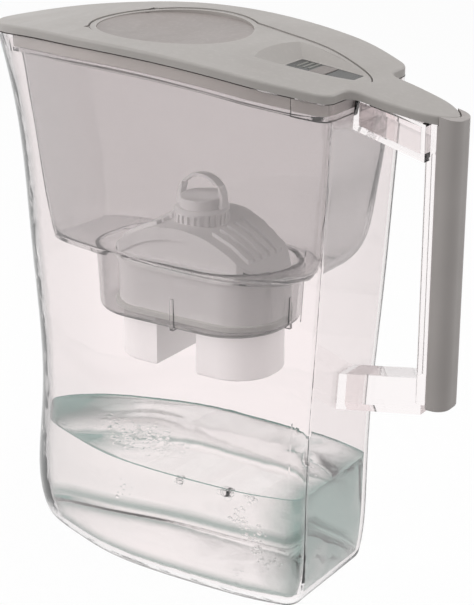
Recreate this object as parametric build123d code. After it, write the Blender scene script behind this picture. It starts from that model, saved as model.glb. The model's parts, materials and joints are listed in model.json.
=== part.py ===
from build123d import *
import math
import os

# Water filter pitcher with flip lid. Millimetres, +X towards the handle, +Z up.
# The origin is at the middle of the bounding box, on the surface that the jug stands on.

# ---------------------------------------------------------------- whole object
overall_length = 258.0      # spout tip to back of the grip
crown_z = 270.5             # highest line of the arched lid
crown_x = -38.5             # where that line lies
arch_radius = 510.0         # radius of the lid's arch in side view
tail_x = 74.5               # from here the arch runs on as a straight slope
spout_x = -overall_length / 2
grip_x = overall_length / 2

# ---------------------------------------------------------------- jug
rim_half = 54.3             # half width of rim and lid
rim_back_x = 81.0           # back edge of rim and lid
rim_back_half = 36.5
foot_half = 40.4            # half width just above the rounded foot
foot_back_x = 65.5
foot_back_half = 33.5
back_corner_r = 9.0
inner_corner_r = 2.0        # least rounding of the parallel outlines inside
parallel_steps = 14         # points that carry a parallel outline
foot_r = 7.0                # rounding between wall and base
wall = 2.8
rim_wall = 1.9              # thinner wall above the ledge that carries the tank
floor_t = 4.0
straight_z = 250.0          # above this height the flanks stand upright
# distance of the spout's front edge behind the spout tip, by height
spout_setback = [(0, 20.3), (70, 19.2), (140, 16.8), (195, 13.0), (228, 8.2), (250, 2.4), (275, -5.0)]
mouth_dip = 2.5             # the rim dips here so that water gets out under the lid's nose
mouth_length = 13.0
mouth_width = 40.0
ledge_before = 3.0          # the ledge starts this far in front of the tank

# ---------------------------------------------------------------- lid
lid_t = 2.2                 # top plate
lid_edge = 4.0              # height of the lid's visible side
lid_edge_t = 2.2
lid_top_r = 1.2             # rounding along the lid's outer edge
skirt_t = 1.6
skirt_fit = 0.6             # running clearance between skirt and rim
tongue_half = 17.3
tongue_tip_x = 125.6
shoulder_blend_r = 6.0
tank_drop = 10.5            # tank rim below the lid's surface
seat_gap = 0.3              # left between curved faces that rest on each other
nose_opening = 24.0         # width that the lid's side leaves free above the mouth

# ---------------------------------------------------------------- flip panel
dish_x = -24.1              # centre of the round dish
dish_r = 37.3
dish_depth = 1.3            # below the plane through the ends of its rim
dish_t = 1.6
dish_inset = 0.8            # the highest part of its rim lies this far below the lid's surface
dish_fit = 0.05
dish_rim_t = 1.0            # collar of the panel round the dish
dish_rim_h = 2.4
panel_border = 2.9          # ring of panel round the dish
panel_t = 2.2               # underside of the panel below the lid's surface
panel_drop = 0.5            # its upper side below the lid's surface
panel_gap = 0.8             # seam between panel and lid
panel_tip_x = 81.5
recess_left_x = 27.2        # thumb recess
recess_right_x = 80.0
recess_floor_left_z = 260.2
recess_floor_right_z = 256.4
recess_rim = [(32.2, 20.0), (51.2, 17.0), (69.2, 10.0), (80.0, 0.0)]    # half of its edge, in plan
recess_foot_left_x = 38.2
recess_foot = [(39.2, 11.7), (57.0, 10.2), (70.0, 7.4), (79.4, 0.0)]    # half of its floor
recess_fall = 0.3           # how far the tip's sides turn towards the tip
recess_wall = 1.6
hinge_x = -55.0
hinge_drop = 2.0            # hinge axis below the lid's surface
pin_r = 1.0
pin_clear = 0.06
pin_length = 8.0
pin_inside = 3.4            # distance of a pin's inner end from the lid's opening
lug_r = 2.4                 # lugs of the panel that hold the pins
lug_w = 4.4
lug_inset = 4.2
boss_r = 3.2                # bosses of the lid that the pins turn in
boss_w = 4.0
boss_offset = 3.4
relief_r = 2.7              # hollow in the lid that the panel's edge turns through
relief_w = 6.0
ledge_w = 2.4               # ledge of the lid that the panel rests on
ledge_from = 6.0            # it starts this far behind the hinge

# ---------------------------------------------------------------- filter-life indicator
window_left_x = 39.7
window_right_x = 75.0
window_half_left = 10.6
window_half_right = 5.2
lens_t = 1.2
lens_fit = 0.1
lens_corner_r = 1.2
case_left_x = 35.5
case_right_x = 74.0
case_half = 11.5
case_wall = 1.2
case_depth = 6.6
case_inset = 5.0            # the case stays this far inside the panel's outline
case_corner_r = 3.0
board_drop = 2.2            # board below the tray
board_fit = 0.1
board_ledge = 1.0           # ledge of the case that carries the board
board_t = 1.0
display_t = 1.4
display_length = 10.8
display_width = 12.0
switch_size = 4.5
switch_h = 1.0
cell_r = 6.0
cell_t = 2.0
cell_offset = 13.5          # middle of the cell from the case's left end
cell_play = 1.5
door_fit = 0.15
door_slot_w = 1.2
door_slot_length = 8.0
key_length = 8.0
key_width = 13.0
key_corner_r = 1.0
key_travel = 0.8
key_x = 57.0
key_fit = 0.15
key_proud = 0.3
key_collar = 0.9            # collar that keeps the key behind the window

# ---------------------------------------------------------------- tank
tank_wall = 2.0
tank_floor_z = 161.0
tank_flange_t = 2.0
tank_flange_clear = 1.0     # between flange and the jug's upper wall
# height, front wall x, its half width, greatest half width, back x, back half width
tank_sections = [
    (161.0, -82.5, 21.0, 36.5, 56.0, 18.0),
    (167.0, -83.0, 22.5, 39.2, 64.0, 22.0),
    (180.0, -85.0, 23.8, 41.4, 69.5, 26.0),
    (205.0, -88.6, 24.8, 44.2, 72.6, 29.0),
    (235.0, -93.0, 25.5, 47.0, 74.6, 31.0),
    (270.0, -98.0, 26.0, 49.8, 76.2, 32.0),
]
tank_corner_r = 4.0
well_x = -10.0
well_length = 105.0
well_width = 68.0
well_corner_r = 30.0
well_bottom_z = 131.0
well_draft = 3.0
well_rib_h = 16.0
well_rib_t = 2.0
well_rib_proud = 1.2
well_rib_along = 6.4        # distance of the side ribs behind the well's middle
well_foot_r = 3.0

# ---------------------------------------------------------------- cartridge
cup_x = -8.0
cup_length = 88.0
cup_width = 48.0
cup_r = 22.0
cup_wall = 1.5
cup_shoulder_z = 135.5      # step that sits on the seal
cup_rim_z = 158.0
cup_flange = 1.2
cup_flange_t = 2.0
leg_inset = 1.8             # legs are this much smaller than the cup all round
leg_bottom_z = 106.0
leg_foot_r = 1.2
leg_gap = 23.0
leg_gap_x = -8.8
outlet_rows = [(-38.5, 4), (17.0, 5)]  # middle of each leg's row of slots, and how many
outlet_pitch = 5.0
outlet_slot_w = 1.6
outlet_slot_length = 22.0
leg_fit = 0.5               # between legs and the hole in the well's floor
seal_w = 3.2
arch_r = 56.0               # arched cap
arch_top_z = 178.5
arch_half_y = 22.0
arch_t = 1.8
end_recess_r = 50.0
end_recess_depth = 0.9
ridge_count = 5
ridge_pitch = 6.4
ridge_w = 4.2
ridge_proud = 1.8
ridge_from = 16.0           # distance of a ridge's ends from the middle of the cap
ridge_to = 36.0
collar_r = 13.5
collar_wall = 2.6
collar_bottom_z = 176.0
collar_top_z = 184.5
collar_slots = 26
collar_slot_w = 1.5
collar_slot_depth = 1.2
collar_slot_low = 1.4       # solid band under the slots, and over them
collar_slot_high = 2.2
collar_chamfer = 1.2
cap_r = 10.8
cap_top_z = 189.0
cap_plug = 3.0              # the cap reaches this far into the collar
cap_wall = 1.4
cap_top_t = 1.6
cap_edge_r = 0.8
loop_r = 13.0
loop_centre_z = 187.0
loop_t = 1.6
loop_w = 5.0
loop_pad_t = 1.4
mesh_t = 0.6
mesh_overlap = 2.0          # the inlet screen is this much wider than the collar
carbon_top_z = 157.0

# ---------------------------------------------------------------- handle
bar_inner_x = 113.2         # finger side of the clear bar
bar_t = 6.0
bar_half = 8.2
bar_corner_r = 2.0
cover_half = 9.0
cover_r = 7.0
cover_bottom_z = 109.5
cover_bottom_r = 1.5
handle_bottom_slope = 0.17  # rise of the lower bridge towards the grip
lower_bridge_z = 98.5       # its underside at the jug's wall
lower_bridge_h = 18.0
bridge_half = 7.0
upper_bridge_under_z = 237.0
upper_bridge_slope = -0.27
upper_bridge_half = 13.5
bridge_wall = 2.4
bridge_root = 30.0          # the bridges are drawn this far into the jug before they are cut
cover_t = 2.0
cover_snap = 0.15           # fit between cover and bar
back_fit = 0.15             # between the bridges' ends and the jug's back

tall = 400.0                # longer than anything it cuts
cut_z = 250.0               # middle height of the cutters for lid and panel
cut_h = 100.0
sky_z = 300.0               # above everything


# ---------------------------------------------------------------- shared geometry
def crown_height(x, drop=0.0):
    """Height of the lid's arched surface at x, lowered by drop."""
    if x <= tail_x:
        return crown_z - drop - arch_radius + math.sqrt(arch_radius**2 - (x - crown_x)**2)
    slope = (tail_x - crown_x) / math.sqrt(arch_radius**2 - (tail_x - crown_x)**2)
    return crown_height(tail_x, drop) - slope * (x - tail_x)


def below_crown(drop):
    """Everything under the arched surface lowered by drop."""
    left, right = spout_x - 20, grip_x + 20
    low = -20.0
    arc = ThreePointArc(
        (left, crown_height(left, drop)),
        (crown_x, crown_height(crown_x, drop)),
        (tail_x, crown_height(tail_x, drop)),
    )
    rest = Polyline(
        (tail_x, crown_height(tail_x, drop)), (right, crown_height(right, drop)),
        (right, low), (left, low), (left, crown_height(left, drop)),
    )
    profile = make_face([arc, rest])
    return extrude(Plane.XZ * profile, amount=tall / 4, both=True)


def crown_band(top_drop, bottom_drop):
    """The layer between two copies of the arched surface."""
    return below_crown(top_drop) - below_crown(bottom_drop)


def column(face, low=-10.0, high=sky_z):
    """A face drawn at z = 0, pulled up from low to high."""
    return extrude(Pos(0, 0, low) * face, amount=high - low)


def round_corners(face, x, radius):
    """Round the corners of a face that lie at x."""
    corners = face.vertices().filter_by_position(Axis.X, x - 0.01, x + 0.01)
    return fillet(corners, radius)


def parallel_curve(curve, inset):
    """A curve on the right-hand side of the given one, inset away from it."""
    points = []
    for index in range(parallel_steps + 1):
        share = index / parallel_steps
        place, way = curve @ share, curve % share
        points.append((place.X + inset * way.Y, place.Y - inset * way.X))
    return Spline(points, tangents=[curve % 0, curve % 1])


def lens_outline(front, back, half, back_half, corner_r, inset=0.0):
    """Plan of jug and lid: blunt nose in front, widest past the middle, straight back."""
    length = back - front
    taper = half - back_half
    side = Spline(
        (front, 0),
        (front + 0.070 * length, 0.395 * half),
        (front + 0.140 * length, 0.585 * half),
        (front + 0.235 * length, 0.742 * half),
        (front + 0.375 * length, 0.925 * half),
        (front + 0.565 * length, half),
        (front + 0.800 * length, half - 0.18 * taper),
        (front + 0.905 * length, half - 0.48 * taper),
        (back, back_half),
        tangents=[(0, 1), (length, -7 * taper)],
        tangent_scalars=[0.6, 1 / length],
    )
    if inset > 0:
        side = parallel_curve(side, inset)
    other = mirror(side, about=Plane.XZ)
    face = make_face([side, Line(side @ 1, other @ 1), other])
    if inset > 0:
        face -= Pos(back - inset + half, 0) * Rectangle(2 * half, 3 * half)
    return round_corners(face, back - inset, corner_r)


def rim_outline(inset=0.0):
    """Plan of the rim, moved inwards by inset."""
    return lens_outline(
        spout_x, rim_back_x, rim_half, rim_back_half, max(back_corner_r - inset, inner_corner_r), inset,
    )


def front_of(z):
    """Front edge of the jug at height z."""
    for (z0, s0), (z1, s1) in zip(spout_setback, spout_setback[1:]):
        if z <= z1:
            return spout_x + s0 + (s1 - s0) * (z - z0) / (z1 - z0)
    return spout_x + spout_setback[-1][1]


def jug_section(z, inset=0.0):
    """Plan of the jug at height z, moved inwards by inset."""
    share = min(z / straight_z, 1.0)
    half = foot_half + share * (rim_half - foot_half)
    back = foot_back_x + share * (rim_back_x - foot_back_x)
    back_half = foot_back_half + share * (rim_back_half - foot_back_half)
    return lens_outline(
        front_of(z) + 1.2 * inset, back - inset, half - inset,
        back_half - 0.8 * inset, back_corner_r - inset,
    )


def back_wall_x(z):
    """Outer face of the jug's flat back at height z."""
    return foot_back_x + min(z / straight_z, 1.0) * (rim_back_x - foot_back_x)


# ---------------------------------------------------------------- jug and handle
def make_jug_shell():
    heights = [z for z, setback in spout_setback]
    outer = loft([Pos(0, 0, z) * jug_section(z) for z in heights])
    outer = fillet(outer.edges().group_by(Axis.Z)[0], foot_r)
    inner_heights = [floor_t] + heights[1:]
    inner = loft([Pos(0, 0, z) * jug_section(z, wall) for z in inner_heights])
    inner = fillet(inner.edges().group_by(Axis.Z)[0], foot_r - wall)
    shell = outer - inner
    ledge_drop = tank_drop + tank_flange_t + seat_gap
    upper = column(rim_outline(rim_wall), cut_z - cut_h / 2)
    upper = upper & behind_front_wall(tank_front_x() - ledge_before)
    shell = (shell - (upper - below_crown(ledge_drop))) & below_crown(lid_edge + seat_gap)
    mouth = Pos(spout_x, 0, cut_z) * Box(2 * mouth_length, mouth_width, cut_h)
    return shell - (mouth - below_crown(lid_edge + mouth_dip))


def bridge(half, top_left, top_right, low_left, low_right):
    """A beam between the jug's back and the bar, given by its side view's corners."""
    z_mid = (top_left + low_left) / 2
    left = back_wall_x(z_mid) - bridge_root
    right = bar_inner_x + bar_t / 2
    side = Polyline(
        (left, low_left), (right, low_right), (right, top_right), (left, top_left), (left, low_left),
    )
    beam = extrude(Plane.XZ * make_face(side), amount=half, both=True)
    return beam - behind_back_wall()


def behind_back_wall():
    """Everything on the spout's side of the jug's back face."""
    low, high, far = -20.0, sky_z, -tall / 2
    lean = (rim_back_x - foot_back_x) / straight_z
    top_x = rim_back_x + back_fit
    side = Polyline(
        (far, low), (foot_back_x + back_fit + lean * low, low), (top_x, straight_z),
        (top_x, high), (far, high), (far, low),
    )
    return extrude(Plane.XZ * make_face(side), amount=tall / 4, both=True)


def bridge_lines(z_at_wall, slope):
    """Heights of a sloping line at a bridge's drawn root and at the bar."""
    wall_x = back_wall_x(z_at_wall)
    left = wall_x - bridge_root
    right = bar_inner_x + bar_t / 2
    return z_at_wall + slope * (left - wall_x), z_at_wall + slope * (right - wall_x)


def make_handle_frame():
    low_l, low_r = bridge_lines(lower_bridge_z, handle_bottom_slope)
    lower = bridge(bridge_half, low_l + lower_bridge_h, low_r + lower_bridge_h, low_l, low_r)
    under_l, under_r = bridge_lines(upper_bridge_under_z, upper_bridge_slope)
    upper = bridge(upper_bridge_half, sky_z, sky_z, under_l, under_r)
    bar_bottom = cover_bottom_z + cover_t + cover_snap
    bar = Pos(bar_inner_x + bar_t / 2, 0, 0) * column(
        RectangleRounded(bar_t, 2 * bar_half, bar_corner_r), bar_bottom
    )
    frame = (lower + upper + bar) & below_crown(lid_edge + seat_gap)
    hollow_under = lid_edge + bridge_wall
    hollow_l, hollow_r = bridge_lines(upper_bridge_under_z + bridge_wall, upper_bridge_slope)
    hollow = bridge(upper_bridge_half - bridge_wall, sky_z, sky_z, hollow_l, hollow_r)
    hollow = hollow & below_crown(hollow_under)
    stop_x = back_wall_x(upper_bridge_under_z) + bridge_wall
    keep = Pos((stop_x + bar_inner_x) / 2, 0, cut_z) * Box(bar_inner_x - stop_x, tall, cut_h)
    return frame - (hollow & keep)


def make_grip_cover():
    inner_x = bar_inner_x + bar_t + cover_snap
    plan = Pos((inner_x + grip_x) / 2, 0) * Rectangle(grip_x - inner_x, 2 * cover_half)
    outer_corners = plan.vertices().filter_by_position(Axis.X, grip_x - 0.1, grip_x + 0.1)
    plan = fillet(outer_corners, cover_r)
    cover = column(plan, cover_bottom_z) & below_crown(0)
    bottom = cover.edges().group_by(Axis.Z)[0]
    cover = fillet(bottom.filter_by(Axis.X, reverse=True), cover_bottom_r)
    hollow_plan = offset(plan, amount=-cover_t, kind=Kind.INTERSECTION)
    hollow_plan += Pos(inner_x + cover_t / 2, 0) * Rectangle(cover_t, 2 * (cover_half - cover_t))
    hollow = column(hollow_plan, cover_bottom_z + cover_t) & below_crown(lid_edge + cover_t)
    cover -= hollow
    return cover - (column(tongue_plan(panel_gap / 2)) - below_crown(lid_edge + seat_gap))


# ---------------------------------------------------------------- lid
def tongue_plan(grow=0.0):
    """Plan of the tongue that reaches from the lid's back edge into the grip."""
    root = rim_back_x - 12
    half = tongue_half + grow
    tip = tongue_tip_x + grow
    near = Spline(
        (root, half), (rim_back_x + 12, half - 0.4), (tip - 20, half - 2.6), (tip - 5.5, half - 9.0),
        (tip, 0), tangents=[(1, 0), (0, -1)], tangent_scalars=[1.0, 0.7],
    )
    far = mirror(near, about=Plane.XZ)
    return make_face([near, Line(near @ 0, far @ 0), far])


def lid_outline(inset=0.0):
    """Plan of the lid with its tongue, blended where the tongue leaves the back edge."""
    plan = rim_outline(inset) + tongue_plan(-inset)
    back = rim_back_x - inset
    roots = plan.vertices().filter_by(lambda v: abs(v.X - back) < 0.1 and abs(v.Y) < tongue_half + 1)
    return fillet(roots, shoulder_blend_r + inset)


def keyhole(grow=0.0):
    """Plan of the flip panel: round end, and tail that narrows to a tip."""
    radius = dish_r + panel_border + grow
    disc = Pos(dish_x, 0) * Circle(radius)
    tail_root = dish_x + 22
    side = Spline(
        (tail_root, 31.0 + grow), (20.0, 26.2 + grow), (47.0, 21.9 + grow),
        (66.0, 13.5 + grow), (panel_tip_x + grow, 0),
        tangents=[(1, -0.16), (0.35, -1)], tangent_scalars=[1.0, 1.0],
    )
    other = mirror(side, about=Plane.XZ)
    return disc + make_face([side, Line(side @ 0, other @ 0), other])


def hinge_z():
    return crown_height(hinge_x) - hinge_drop


def pin_seat_y():
    """Distance from the middle to the edge of the lid's opening at the hinge."""
    return math.sqrt((dish_r + panel_border + panel_gap)**2 - (hinge_x - dish_x)**2)


def on_hinge(y, radius, width):
    """Cylinder round the hinge axis, with its middle at y."""
    return Pos(hinge_x, y, hinge_z()) * Rot(90, 0, 0) * Cylinder(radius, width)


def post(x, radius):
    """Upright cylinder through lid and panel."""
    return Pos(x, 0, cut_z) * Cylinder(radius, cut_h)


def on_crown(edge):
    """True for an edge that lies in the lid's arched surface."""
    middle = edge.center()
    return abs(middle.Z - crown_height(middle.X)) < lid_t / 2


def opening_plan():
    """Plan of the hole under the panel: full width near the hinge and round the recess."""
    seam = keyhole(panel_gap)
    plan = keyhole(panel_gap - ledge_w) + (seam & recess_plan(recess_wall + panel_gap))
    left = Pos(hinge_x + ledge_from - tall / 2, 0) * Rectangle(tall, tall)
    return plan + (seam & left)


def make_lid_shell():
    lid = column(lid_outline()) & crown_band(0, lid_edge)
    lid = fillet(lid.edges().filter_by(on_crown), lid_top_r)
    under = lid_outline(lid_edge_t) - keyhole(panel_gap + lid_edge_t)
    lid -= column(under) & crown_band(lid_t, 2 * lid_edge)
    lid -= column(keyhole(panel_gap)) & crown_band(-1, panel_t + seat_gap)
    lid -= column(opening_plan()) & crown_band(panel_t, 2 * lid_edge)
    nose = Pos(spout_x, 0, cut_z) * Box(2 * mouth_length, nose_opening, cut_h)
    lid -= nose & crown_band(lid_t, 2 * lid_edge)
    boss_y = pin_seat_y() + boss_offset
    for side in (-1, 1):
        boss = on_hinge(side * boss_y, boss_r, boss_w) & below_crown(lid_top_r / 2)
        lid += boss - column(keyhole(panel_gap))
        lid -= on_hinge(side * (boss_y - (boss_w + relief_w) / 2), relief_r, relief_w)
    bore_end = pin_seat_y() - pin_inside + pin_length + seat_gap
    return lid - on_hinge(0, pin_r + pin_clear, 2 * bore_end)


def tank_front_x():
    """Front wall of the tank at rim height."""
    (z0, x0), (z1, x1) = [(s[0], s[1]) for s in tank_sections[-2:]]
    rim_z = crown_height(x1, tank_drop)
    return x0 + (x1 - x0) * (rim_z - z0) / (z1 - z0)


def behind_front_wall(x):
    """Everything on the handle's side of x."""
    return Pos(x + tall / 2, 0, tall / 2) * Box(tall, tall, tall)


def make_lid_skirt():
    gap = rim_wall + skirt_fit
    outer = column(rim_outline(gap)) & behind_front_wall(tank_front_x())
    inner = column(rim_outline(gap + skirt_t)) & behind_front_wall(tank_front_x() + skirt_t)
    skirt = (outer - inner) & crown_band(lid_t, tank_drop - seat_gap)
    return skirt - (column(keyhole(panel_gap + lid_edge_t)) - below_crown(lid_edge + seat_gap))


# ---------------------------------------------------------------- flip panel
def recess_floor_z(x):
    share = (x - recess_left_x) / (recess_right_x - recess_left_x)
    return recess_floor_left_z + share * (recess_floor_right_z - recess_floor_left_z)


def recess_rim_z(x):
    """Sloping plane through the left and right end of the recess's edge."""
    left_z, right_z = crown_height(recess_left_x), crown_height(recess_right_x)
    share = (x - recess_left_x) / (recess_right_x - recess_left_x)
    return left_z + share * (right_z - left_z)


def recess_face(points, left, height, grow=0.0):
    """Outline of the recess through the points, lying in the plane that height gives."""
    fall = height(1.0) - height(0.0)
    places = [(x, y + grow, height(x)) for x, y in points[:-1]]
    tip = points[-1][0] + grow
    near = Spline(
        places + [(tip, 0, height(tip))],
        tangents=[(1, 0, fall), (recess_fall, -1, recess_fall * fall)], tangent_scalars=[0.8, 0.9],
    )
    far = mirror(near, about=Plane.XZ)
    return make_face([near, ThreePointArc(near @ 0, (left - grow, 0, height(left - grow)), far @ 0), far])


def recess_plan(grow=0.0):
    """Plan of the recess's edge: bowed left end, sides that meet in a tip."""
    return recess_face(recess_rim, recess_left_x, lambda x: 0.0, grow)


def recess_boat(grow=0.0, deeper=0.0):
    """The hollow of the recess, or with grow and deeper its outside."""
    foot = recess_face(recess_foot, recess_foot_left_x, lambda x: recess_floor_z(x) - deeper, grow)
    edge = recess_face(recess_rim, recess_left_x, recess_rim_z, grow)
    return loft([foot, edge], ruled=True) + extrude(edge, amount=cut_h / 10, dir=(0, 0, 1))


def recess_slab(top, bottom):
    """Layer parallel to the recess floor; top and bottom count upwards from it."""
    left, right = recess_left_x - 10, recess_right_x + 10
    zl, zr = recess_floor_z(left), recess_floor_z(right)
    side = Polyline(
        (left, zl + bottom), (right, zr + bottom), (right, zr + top), (left, zl + top), (left, zl + bottom),
    )
    return extrude(Plane.XZ * make_face(side), amount=60, both=True)


def window_plan(grow=0.0):
    """Plan of the dark window in the recess floor."""
    left, right = window_left_x - grow, window_right_x + grow
    hl, hr = window_half_left + grow, window_half_right + grow
    face = make_face(Polyline((left, -hl), (right, -hr), (right, hr), (left, hl), (left, -hl)))
    return fillet(face.vertices(), lens_corner_r)


def make_flip_panel():
    panel = column(keyhole()) & crown_band(panel_drop, panel_t)
    panel -= post(dish_x, dish_r)
    panel += recess_boat(recess_wall, recess_wall) & below_crown(panel_drop)
    panel += column(case_plan()) & recess_slab(0, -recess_wall)
    panel -= recess_boat()
    panel -= column(window_plan(lens_fit))
    rim_ring = post(dish_x, dish_r + dish_rim_t) - post(dish_x, dish_r)
    panel += rim_ring & crown_band(panel_t, panel_t + dish_rim_h)
    lug_y = pin_seat_y() - lug_inset
    for side in (-1, 1):
        panel += on_hinge(side * lug_y, lug_r, lug_w) & below_crown(dish_inset)
    panel -= post(dish_x, dish_r)
    return panel - on_hinge(0, pin_r, 2 * rim_half)


def make_hinge_pins():
    y = pin_seat_y() - pin_inside + pin_length / 2
    return on_hinge(y, pin_r, pin_length) + on_hinge(-y, pin_r, pin_length)


def make_dish_insert():
    """Shallow bowl that leans with the lid's slope."""
    sphere_r = (dish_r**2 + dish_depth**2) / (2 * dish_depth)
    left_z = crown_height(dish_x - dish_r, dish_inset)
    right_z = crown_height(dish_x + dish_r, dish_inset)
    lean = math.atan((left_z - right_z) / (2 * dish_r))
    reach = sphere_r - dish_depth
    centre = Pos(dish_x + reach * math.sin(lean), 0, (left_z + right_z) / 2 + reach * math.cos(lean))
    bowl = post(dish_x, dish_r - dish_fit) & (centre * Sphere(sphere_r + dish_t))
    return bowl - centre * Sphere(sphere_r)


def case_plan(inset=0.0):
    """Plan of the indicator's case, moved inwards by inset."""
    length = case_right_x - case_left_x - 2 * inset
    corner_r = max(case_corner_r - inset, 0.5)
    box = RectangleRounded(length, 2 * (case_half - inset), corner_r)
    return (Pos((case_left_x + case_right_x) / 2, 0) * box) & keyhole(-case_inset - inset)


def board_top():
    return -recess_wall - board_drop


def cell_x():
    return case_left_x + cell_offset


def make_indicator_case():
    board_low = board_top() - board_t
    bottom = -recess_wall - case_depth
    shell = column(case_plan()) & recess_slab(-recess_wall, bottom)
    shell -= column(case_plan(case_wall)) & recess_slab(1, board_low)
    shell -= column(case_plan(case_wall + board_ledge)) & recess_slab(1, bottom + case_wall)
    return shell - (post(cell_x(), cell_r + cell_play) & recess_slab(board_low, bottom - 1))


def key_plan(grow=0.0):
    corner_r = key_corner_r + grow
    return Pos(key_x, 0) * RectangleRounded(key_length + 2 * grow, key_width + 2 * grow, corner_r)


def make_indicator_lens():
    lens = column(window_plan()) & recess_slab(0, -lens_t)
    return lens - column(key_plan(key_fit))


def make_indicator_board():
    return column(case_plan(case_wall + board_fit)) & recess_slab(board_top(), board_top() - board_t)


def make_display_panel():
    x = window_left_x + display_length / 2 + lens_corner_r
    plan = Pos(x, 0) * Rectangle(display_length, display_width)
    return column(plan) & recess_slab(board_top() + display_t, board_top())


def make_button_switch():
    body = Pos(key_x, 0) * Rectangle(switch_size, switch_size)
    return column(body) & recess_slab(board_top() + switch_h, board_top())


def make_reset_button():
    stem_low = board_top() + switch_h + key_travel + board_fit
    stem = column(key_plan()) & recess_slab(key_proud, stem_low)
    collar = column(key_plan(key_collar)) & recess_slab(-lens_t - lens_fit, stem_low)
    return stem + collar


def make_coin_cell():
    top = board_top() - board_t
    return post(cell_x(), cell_r) & recess_slab(top, top - cell_t)


def make_battery_door():
    low = -recess_wall - case_depth
    plate = post(cell_x(), cell_r + cell_play - door_fit) & recess_slab(low + case_wall, low)
    slot = Pos(cell_x(), 0, cut_z) * Box(door_slot_length, door_slot_w, cut_h)
    return plate - (slot & recess_slab(low + case_wall / 2, low - 1))


# ---------------------------------------------------------------- tank
def tank_outline(front, front_half, half, back, back_half, inset=0.0):
    """Plan of the tank: flat front wall, curved flanks, round back."""
    front, back = front + inset, back - inset
    front_half, half, back_half = front_half - 0.6 * inset, half - inset, back_half - 0.6 * inset
    length = back - front
    side = Spline(
        (front, front_half),
        (front + 0.30 * length, front_half + 0.72 * (half - front_half)),
        (front + 0.60 * length, half),
        (front + 0.86 * length, half - 0.22 * (half - back_half)),
        (back, back_half - 8.0),
        tangents=[(1, 0.55), (0.06, -1)], tangent_scalars=[1.0, 1.2],
    )
    other = mirror(side, about=Plane.XZ)
    face = make_face([side, Line(side @ 1, other @ 1), other, Line(side @ 0, other @ 0)])
    return round_corners(face, front, tank_corner_r)


def tank_loft(inset=0.0, lift=0.0):
    """Solid body of the tank, moved inwards by inset, with its floor lifted."""
    plans = []
    for index, (z, front, front_half, half, back, back_half) in enumerate(tank_sections):
        face = tank_outline(front, front_half, half, back, back_half, inset)
        plans.append(Pos(0, 0, z + (lift if index == 0 else 0)) * face)
    return loft(plans)


def rounded_slab(x, length, width, radius, low, high, draft=0.0):
    """Upright slab with rounded plan; with draft it narrows downwards."""
    face = Pos(x, 0, high) * RectangleRounded(length, width, radius)
    return extrude(face, amount=high - low, dir=(0, 0, -1), taper=draft)


def leg_plan(grow=0.0):
    """Plan of the part of the cartridge that passes through the well's floor."""
    inset = leg_inset - grow
    return Pos(cup_x, 0) * RectangleRounded(cup_length - 2 * inset, cup_width - 2 * inset, cup_r - inset)


def make_well_ribs():
    """Upright ribs on the foot of the well: one on each flank and one at the back end."""
    draft = (tank_floor_z - well_bottom_z) * math.tan(math.radians(well_draft))
    inwards = draft + well_rib_proud
    depth = 4 * well_rib_proud
    flank = Box(well_rib_t, depth, well_rib_h)
    z = well_bottom_z + well_rib_h / 2
    ribs = Pos(well_x + well_length / 2 - inwards, 0, z) * Box(depth, well_rib_t, well_rib_h)
    for side in (-1, 1):
        ribs += Pos(well_x + well_rib_along, side * (well_width / 2 - inwards), z) * flank
    return ribs


def make_reservoir_shell():
    tank = tank_loft() & below_crown(tank_drop)
    flange = column(rim_outline(rim_wall + tank_flange_clear)) & behind_front_wall(tank_front_x() - 1.5)
    tank += flange & crown_band(tank_drop, tank_drop + tank_flange_t)
    well = rounded_slab(well_x, well_length, well_width, well_corner_r, well_bottom_z,
                        tank_floor_z + tank_wall, well_draft)
    tank += fillet(well.edges().group_by(Axis.Z)[0], well_foot_r)
    tank += make_well_ribs()
    tank -= tank_loft(tank_wall, tank_wall)
    tank -= rounded_slab(well_x, well_length - 2 * tank_wall, well_width - 2 * tank_wall,
                         well_corner_r - tank_wall, well_bottom_z + tank_wall,
                         tank_floor_z + tank_wall + 1, well_draft)
    return tank - column(leg_plan(leg_fit), leg_bottom_z, tank_floor_z)


def make_seat_seal():
    low = well_bottom_z + tank_wall
    ring = column(leg_plan(leg_fit + seal_w), low, cup_shoulder_z)
    return ring - column(leg_plan(leg_fit), low - 1, cup_shoulder_z + 1)


# ---------------------------------------------------------------- cartridge
def cup_plan(grow=0.0):
    return Pos(cup_x, 0) * RectangleRounded(cup_length + 2 * grow, cup_width + 2 * grow, cup_r + grow)


def leg_solids(inset, low, high):
    """The two legs, moved inwards by inset on every side."""
    legs = column(leg_plan(-inset), low, high)
    gap = Pos(leg_gap_x, 0, (low + high) / 2) * Box(leg_gap + 2 * inset, 2 * cup_width, high - low + 2)
    return legs - gap


def make_cartridge_cup():
    cup = column(cup_plan(), cup_shoulder_z, cup_rim_z)
    cup += column(cup_plan(cup_flange), cup_rim_z - cup_flange_t, cup_rim_z)
    legs = leg_solids(0, leg_bottom_z, cup_shoulder_z)
    legs = fillet(legs.edges().group_by(Axis.Z)[0], leg_foot_r)
    cup += legs
    cup -= column(cup_plan(-cup_wall), cup_shoulder_z + cup_wall, cup_rim_z + 1)
    cup -= leg_solids(cup_wall, leg_bottom_z + cup_wall, cup_shoulder_z + cup_wall)
    slot = Box(outlet_slot_w, outlet_slot_length, 4 * cup_wall)
    for x, count in outlet_rows:
        for place in GridLocations(outlet_pitch, 1, count, 1):
            cup -= Pos(x, 0, leg_bottom_z) * place * slot
    return cup


def arch_profile(radius, low):
    """Side view of the arched cap, cut level at low."""
    centre_z = arch_top_z - arch_r
    disc = Pos(cup_x, centre_z) * Circle(radius)
    above = Pos(cup_x, low + tall / 2) * Rectangle(tall, tall)
    return disc & above


def arch_solid(radius, low, half_y):
    return extrude(Plane.XZ * arch_profile(radius, low), amount=half_y, both=True)


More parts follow.
